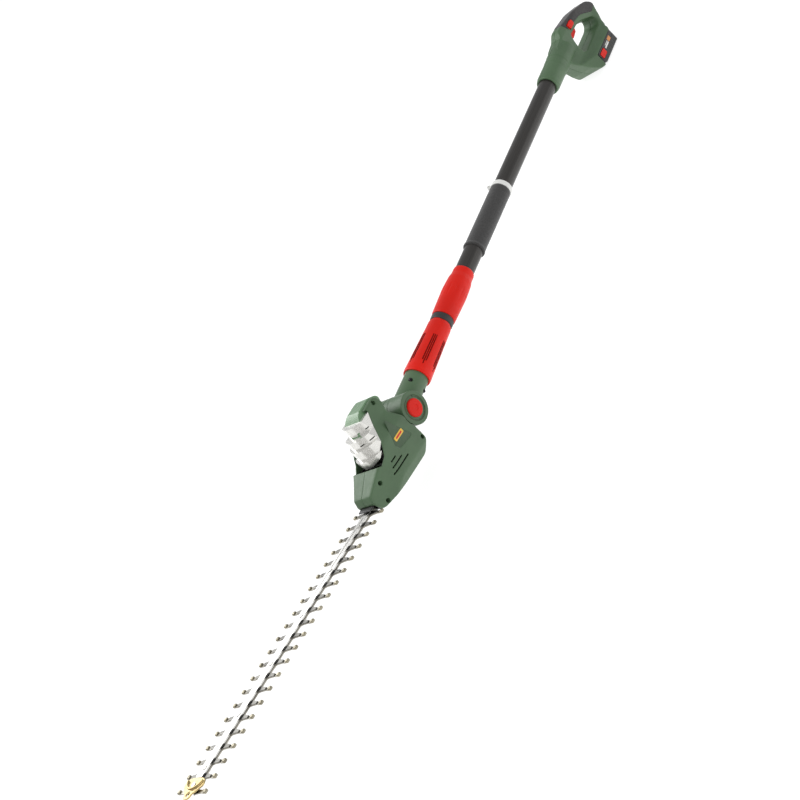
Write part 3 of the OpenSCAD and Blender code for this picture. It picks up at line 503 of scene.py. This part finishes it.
def stands_for(piece, *nodes, material=None):
    """The piece takes the place of these CAD nodes: their body and their slot's finish."""
    dress(piece, material or finish_of(nodes[0]))
    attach(piece, body_of_node(nodes[0]))
    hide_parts(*nodes)
    return piece


def goes_with(piece, node, material=None):
    """An extra piece of detail on a CAD node's body."""
    dress(piece, material or finish_of(node))
    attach(piece, body_of_node(node))
    return piece


QUICK = 1.0


def moulding(node, voxel, rounds, triangles, block=None, cuts=(), lines=(), material=None):
    """A CAD node's shape as a moulding: cut back to a soft block, edges rounded off, then crisp lines cut in."""
    piece = from_node(node + "_moulding", node)
    if block:
        cut(piece, block, "INTERSECT", keep=True)
    for tool in cuts:
        cut(piece, tool, keep=True)
    remesh(piece, voxel * QUICK)
    relax(piece, rounds)
    thin(piece, triangles)
    for tool in lines:
        cut(piece, tool, keep=True)
    smooth(piece, 50 if lines else None)
    return stands_for(piece, node, material=material)


def drop(*objects):
    for o in objects:
        bpy.data.objects.remove(o)


# ---------- outlines, in millimetres ----------

def mirrored(half):
    """A half outline at positive second coordinate, closed by its mirror image."""
    return half + [(a, -b, r) for a, b, r in reversed(half)]


def moved(outline, dx):
    return [(x + dx, y, r) for x, y, r in outline]


HEAD_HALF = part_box("head_shell_left")[1].y / MM
TOOTH_COUNT, TOOTH_PITCH, FIRST_TOOTH = 22, 25, 186.3
COMB_Z = -50.7
RAIL_TOP = COMB_Z + 1.8 + 0.05 + 1.6 + 0.05 + 2.4
BATTERY_HALF = BATTERY_HIGH.y / MM
MOUTH = MOUTH_X / MM
BATTERY_FLOOR = BATTERY_LOW.z / MM

HEAD_SIDE = [(30, 12, 0), (26, -20, 4), (25, -44, 14), (40, -65, 16), (110, -63.5, 60), (172, -58, 14),
             (181, -38, 3), (176, -25, 3), (134, -4, 10), (98, 50, 10), (72, 66, 12), (34, 68, 10),
             (33, 50, 8), (42, 36, 6)]
HEAD_FRONT = [(-24, 72, 6), (24, 72, 6), (31, 40, 20), (40, 12, 20), (40, -46, 10), (28, -66, 8),
              (-28, -66, 8), (-40, -46, 10), (-40, 12, 20), (-31, 40, 20)]
HEAD_PLAN = mirrored([(20, 40, 0), (112, 40, 40), (150, 29, 30), (182, 21, 4)])
BADGE_FIELD = [(65, 34.6, 2), (43.4, -16.8, 2), (47, -19.6, 1), (79.6, -15.8, 2), (84.4, -6, 2)]

HANDLE_SIDE = moved([
    (-84, 23, 6), (-112, 25, 8), (-126, 35.5, 16), (-150, 34, 60), (-200, 26, 80), (-246, 11, 30),
    (-266, -7, 12), (-247, -30, 18), (-237, -46, 8), (-236, -60, 1), (-137, -84, 2), (-122, -81, 16),
    (-104, -60, 20), (-80, -20, 4)], MOUTH)
HANDLE_HOLE = moved([(-238, -24, 8), (-190, 3, 60), (-142, 7.5, 6), (-128, -37, 7), (-222, -37, 12)], MOUTH)
ARCH = 15.5
HANDLE_FRONT = [
    (-ARCH, 22, 10), (-9, 40, 10), (9, 40, 10), (ARCH, 22, 10), (ARCH, -14, 20), (22, -38, 20), (38, -52, 12),
    (38, -100, 2), (-38, -100, 2), (-38, -52, 12), (-22, -38, 20), (-ARCH, -14, 20)]
HANDLE_PLAN = moved(mirrored([
    (-60, 24, 0), (-94, 24, 20), (-134, 38.5, 30), (-212, 38.5, 12), (-238, 20, 14), (-282, 18, 0)]), MOUTH)


# ---------- soft blocks that round the shells ----------

def head_block():
    parts = [prism("head_side", HEAD_SIDE, -41, 41, "xz", HEAD), prism("head_front", HEAD_FRONT, 10, 200, "yz", HEAD),
             prism("head_plan", HEAD_PLAN, -100, 100, "xy", HEAD)]
    block = parts[0]
    for other in parts[1:]:
        cut(block, other, "INTERSECT")
    ear = lathe("ear", [(-38, 0), (-38, 30.5), (-8, 30.5), (-8, 0)], "y", HEAD)
    web = prism("web", [(0, 31, 0), (46, 36, 0), (46, -33, 0), (0, -31, 0)], -38, -8, "xz", HEAD)
    cut(ear, web, "UNION")
    cut(block, ear, "UNION")
    remesh(block, 1.5)
    relax(block, 16)
    return settle(block)


def handle_block():
    block = prism("handle_side", HANDLE_SIDE, -40, 40, "xz")
    cut(block, prism("hole", HANDLE_HOLE, -60, 60, "xz"))
    cut(block, prism("handle_front", HANDLE_FRONT, MOUTH - 290, MOUTH - 60, "yz"), "INTERSECT")
    cut(block, prism("handle_plan", HANDLE_PLAN, -120, 60, "xy"), "INTERSECT")
    remesh(block, 1.4)
    relax(block, 22)
    settle(block)
    socket = lathe("socket", [(MOUTH - 112, 0), (MOUTH - 112, 26), (MOUTH + 1, 26), (MOUTH + 1, 0)])
    return cut(block, socket, "UNION")


rounded_head = head_block()
rounded_handle = handle_block()


# ---------- cutting head ----------

def head_lines():
    """The three air slots in each side wall."""
    tools = []
    for x0, x1, z in ((97, 112, -16), (87, 117, -24.5), (76, 123, -33)):
        tools.append(prism("slot", [(x0, z - 1.2, 0.8), (x1, z - 1.2, 0.8), (x1, z + 1.2, 0.8), (x0, z + 1.2, 0.8)],
                           -60, 60, "xz", HEAD))
    return tools


air_slots = head_lines()
for side_name in ("head_shell_left", "head_shell_right"):
    moulding(side_name, 0.85, 5, 60000, block=rounded_head, lines=air_slots)
drop(*air_slots)
# A near-black plate inside each side wall behind the air slots: painted shade for the head's dark inside, and it
# stops the view through the slots.
for y in (-31.5, 30):
    baffle = prism("slot_shade_plate", [(74, -37, 1), (126, -37, 1), (126, -12, 1), (90, -12, 1)], y, y + 1.5, "xz", HEAD)
    bevel(baffle, 0.3)
    goes_with(smooth(settle(baffle), 40), "blade_shroud", material=slot_shade_black)
drop(rounded_head)


moulding("blade_shroud", 0.6, 4, 9000)
for side_name in ("neck_left", "neck_right"):
    moulding(side_name, 0.8, 7, 40000)


def badge():
    """A darker triangular field with a rim line, and a blank yellow badge with a red bar on it."""
    field = prism("badge_field", BADGE_FIELD, HEAD_HALF - 1.25, HEAD_HALF - 0.75, "xz", HEAD)
    bevel(field, 0.2)
    goes_with(smooth(settle(field), 30), "head_shell_left", material=dark_green)
    plate = prism("badge_plate", moved([(-12.6, -4.8, 2), (12.6, -4.8, 2), (12.6, 2.8, 2), (-12.6, 2.8, 2)], 64),
                  HEAD_HALF - 1.2, HEAD_HALF - 0.25, "xz", HEAD)
    bevel(plate, 0.35, 3)
    stands_for(smooth(settle(plate), 40), "label_plate")
    bar = prism("badge_bar", moved([(-9, -2.6, 1), (9, -2.6, 1), (9, 0.6, 1), (-9, 0.6, 1)], 64),
                HEAD_HALF - 0.4, HEAD_HALF - 0.1, "xz", HEAD)
    bevel(bar, 0.1)
    goes_with(smooth(settle(bar), 40), "label_plate", material=badge_red)


badge()


# ---------- rear handle and battery ----------

for side_name in ("handle_shell_left", "handle_shell_right"):
    moulding(side_name, 0.85, 5, 50000, block=rounded_handle)
moulding("soft_grip", 0.55, 6, 24000, block=rounded_handle)
drop(rounded_handle)
moulding("trigger", 0.45, 10, 9000)
moulding("lock_off_button", 0.45, 8, 6000)
for latch_name in ("latch_left", "latch_right"):
    moulding(latch_name, 0.3, 7, 5000)


def battery_tools():
    """Shallow grip grooves in the pack's sides."""
    tools = []
    rear = BATTERY_LOW.x / MM
    for side_of in (-1, 1):
        for i in range(5):
            x = rear + 20 + 9 * i
            low, high = sorted((side_of * (BATTERY_HALF - 0.7), side_of * (BATTERY_HALF + 3)))
            tools.append(prism("rib", [(x, BATTERY_FLOOR + 4, 0), (x + 2, BATTERY_FLOOR + 4, 0),
                                       (x + 2, BATTERY_FLOOR + 12, 0), (x, BATTERY_FLOOR + 12, 0)], low, high, "xz"))
    return tools


ribs = battery_tools()
moulding("battery_case", 0.7, 4, 30000, cuts=ribs)
drop(*ribs)
moulding("battery_lid", 0.7, 4, 30000)


def battery_labels():
    """Blank colour blocks on the pack's side, where the real one carries its printing."""
    rear = BATTERY_LOW.x / MM
    top = BATTERY_FLOOR + 25
    for name, x0, x1, z0, z1, finish in (
            ("orange_block", 30, 42, top - 8, top, orange), ("white_block", 44, 64, top - 8, top - 4.6, white),
            ("white_line", 44, 60, top - 3.4, top - 2, white)):
        block = prism(name, [(rear + x0, z0, 0.6), (rear + x1, z0, 0.6), (rear + x1, z1, 0.6), (rear + x0, z1, 0.6)],
                      BATTERY_HALF - 0.2, BATTERY_HALF + 0.12, "xz")
        bevel(block, 0.08)
        goes_with(smooth(settle(block), 40), "battery_lid", material=finish)


battery_labels()


# ---------- pole ----------

moulding("clamp_sleeve", 0.75, 4, 50000)


def nut_groove_shade_strips():
    """A dark red strip in each of the three lines of every grip flute, as painted shade in the grooves."""
    low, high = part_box("coupling_nut")
    start, wide = low.x / MM, high.z / MM
    bm = bmesh.new()
    for flute in range(6):
        for k in (-1, 0, 1):
            angle = math.radians(60 * flute + 8 * k)
            length = 66 - 8 * abs(k)
            for along, inset in ((36.6, 3.0), (36.6 + length, 0.7)):
                for across in (-0.45, 0.45):
                    for depth in (0.0, -1.2):
                        radius = wide - inset + 0.25 + depth
                        bm.verts.new(Matrix.Rotation(-angle, 3, "X") @
                                     Vector((start + along, across, radius)) * MM)
            bm.verts.ensure_lookup_table()
            v = bm.verts[-8:]
            for face in ((0, 2, 3, 1), (4, 5, 7, 6), (0, 4, 6, 2), (1, 3, 7, 5), (0, 1, 5, 4), (2, 6, 7, 3)):
                bm.faces.new([v[i] for i in face])
    bmesh.ops.recalc_face_normals(bm, faces=bm.faces)
    mesh = bpy.data.meshes.new("grooves")
    bm.to_mesh(mesh)
    bm.free()
    goes_with(new_piece("nut_groove_shade_strips", mesh), "coupling_nut", material=groove_shade_red)


moulding("coupling_nut", 0.6, 2, 80000)
nut_groove_shade_strips()
moulding("wiper_ring", 0.6, 5, 16000, material=battery_black)
moulding("strap_band", 0.5, 4, 14000)


def foam_grip():
    """A foam sleeve pushed onto the tube: faintly wavy along its length, with soft ends and a rolled lip."""
    low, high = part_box("foam_grip")
    start, end = low.x / MM, high.x / MM
    outer = TUBE_R / MM + 2.1
    profile = [(start + 0.1, TUBE_R / MM), (start + 0.1, outer - 0.9), (start + 0.8, outer - 0.2)]
    steps = 60
    for i in range(1, steps):
        x = start + 0.8 + (end - start - 8) * i / steps
        profile.append((x, outer - 0.06 * (1 + math.sin(i * 1.7)) + 0.04 * math.cos(i * 0.53)))
    profile += [(end - 6, outer), (end - 4.6, outer + 0.8), (end - 3, outer + 1.0), (end - 1.4, outer + 0.8),
                (end - 0.2, outer - 0.2), (end - 0.1, TUBE_R / MM)]
    sleeve = lathe("foam_sleeve", profile)
    smooth(sleeve, 60)
    stands_for(sleeve, "foam_grip")


foam_grip()


# ---------- blades and other metal ----------

def soften(node, width, segments=2):
    """Broken edges on a CAD node, by modifiers alone."""
    node = frame["nodes"][node]
    weld = node.modifiers.new("weld", "WELD")
    weld.merge_threshold = 0.000001
    bevel(node, width, segments)


for node_name, width in (("comb_teeth", 0.45), ("moving_teeth", 0.3), ("guide_rail", 0.4), ("comb_blade", 0.2),
                         ("moving_blade", 0.2), ("rail_bolts", 0.25), ("tip_screw", 0.25), ("tilt_button", 0.4),
                         ("hub_ring", 0.3), ("pivot_hub", 0.3), ("inner_tube", 0.2)):
    soften(node_name, width)
soften("vent_cover", 0.7, 3)
soften("dome_cover", 1.2, 4)
moulding("tip_guard", 0.4, 5, 26000)


def painted_shade_rail_line():
    """A dark strip along the rail's top: painted shade, standing in for the shadow line beside the rail."""
    low, high = 196, 686
    strip = prism("rail_painted_shade_strip", [(low, -2.2, 1), (high, -2.2, 1), (high, -0.4, 0.6), (low, -0.4, 0.6)],
                  RAIL_TOP - 0.1, RAIL_TOP + 0.06, "xy", HEAD)
    goes_with(strip, "guide_rail", material=cutter_steel)


def tooth_bosses():
    """Forged bosses on the comb's blunt tips, and a near-black block behind each one as painted shadow."""
    bm = bmesh.new()
    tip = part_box("comb_teeth")[1].y / MM
    for i in range(TOOTH_COUNT):
        for side_of in (-1, 1):
            made = bmesh.ops.create_icosphere(bm, subdivisions=3, radius=1.0)["verts"]
            centre = Vector((FIRST_TOOTH + TOOTH_PITCH * i, side_of * (tip - 3.4), COMB_Z + 1.6))
            for v in made:
                boxy = Vector([math.copysign(abs(c) ** 0.55, c) for c in v.co])
                v.co = centre * MM + Vector((boxy.x * 3.6, boxy.y * 3.3, boxy.z * 2.5)) * MM
    mesh = bpy.data.meshes.new("bosses")
    bm.to_mesh(mesh)
    bm.free()
    mesh.transform(HEAD)
    goes_with(smooth(new_piece("tooth_bosses", mesh)), "comb_teeth", material=boss_steel)
    # A near-black block behind each tip: painted shadow in the gap between the cutter's tooth and the tip.
    bm = bmesh.new()
    for i in range(TOOTH_COUNT):
        for side_of in (-1, 1):
            made = bmesh.ops.create_cube(bm, size=1.0)["verts"]
            for v in made:
                reach = 5.5 if v.co.y * side_of > 0 else 9
                v.co = Vector((FIRST_TOOTH + TOOTH_PITCH * i + v.co.x * reach, side_of * 9.4 + v.co.y * 3.6,
                               COMB_Z + 1.7 + v.co.z * 5.2)) * MM
    bmesh.ops.bevel(bm, geom=bm.edges[:], offset=0.0004, segments=2, affect="EDGES")
    mesh = bpy.data.meshes.new("tip_shadow_mesh")
    bm.to_mesh(mesh)
    bm.free()
    mesh.transform(HEAD)
    goes_with(new_piece("tooth_painted_shadows", mesh), "comb_teeth", material=tip_shadow_steel)


painted_shade_rail_line()
tooth_bosses()


# ---------- stage and light ----------

def stage():
    """A white paper floor, lit from within so that it stays even, with a faint shadow."""
    bm = bmesh.new()
    bmesh.ops.create_grid(bm, x_segments=2, y_segments=2, size=60)
    mesh = bpy.data.meshes.new("floor")
    bm.to_mesh(mesh)
    bm.free()
    floor = new_piece("floor", mesh)
    floor.location = (0.5, 0, FLOOR_Z - 0.0005)
    s = Shader("floor_paper", (0.30, 0.30, 0.30), roughness=0.9, specular=0.05)
    s.colours(s.noise(3, 2), [(0.3, (0.295, 0.295, 0.295)), (0.7, (0.305, 0.305, 0.305))])
    s.bsdf.inputs["Emission Color"].default_value = (1, 1, 1, 1)
    s.bsdf.inputs["Emission Strength"].default_value = 0.86
    dress(floor, s.material)
    world = bpy.data.worlds.new("studio")
    scene.world = world
    world.use_nodes = True
    back = world.node_tree.nodes["Background"]
    back.inputs["Color"].default_value = (0.97, 0.98, 1.0, 1)
    back.inputs["Strength"].default_value = 0.6


def area_light(name, at, towards, size, power):
    lamp = bpy.data.lights.new(name, "AREA")
    lamp.shape, lamp.size, lamp.energy = "DISK", size, power
    obj = bpy.data.objects.new(name, lamp)
    obj.location = at
    obj.rotation_euler = (Vector(towards) - Vector(at)).to_track_quat("-Z", "Y").to_euler()
    scene.collection.objects.link(obj)


MIDDLE = (0.45, 0.0, 0.0)
stage()
area_light("key", (0.5, -0.7, 3.0), MIDDLE, 1.6, 30)
area_light("fill", (2.6, 2.0, 1.2), MIDDLE, 2.0, 8)
area_light("rim", (0.2, -2.6, 1.5), MIDDLE, 2.4, 34)

scene.view_settings.view_transform = "Standard"
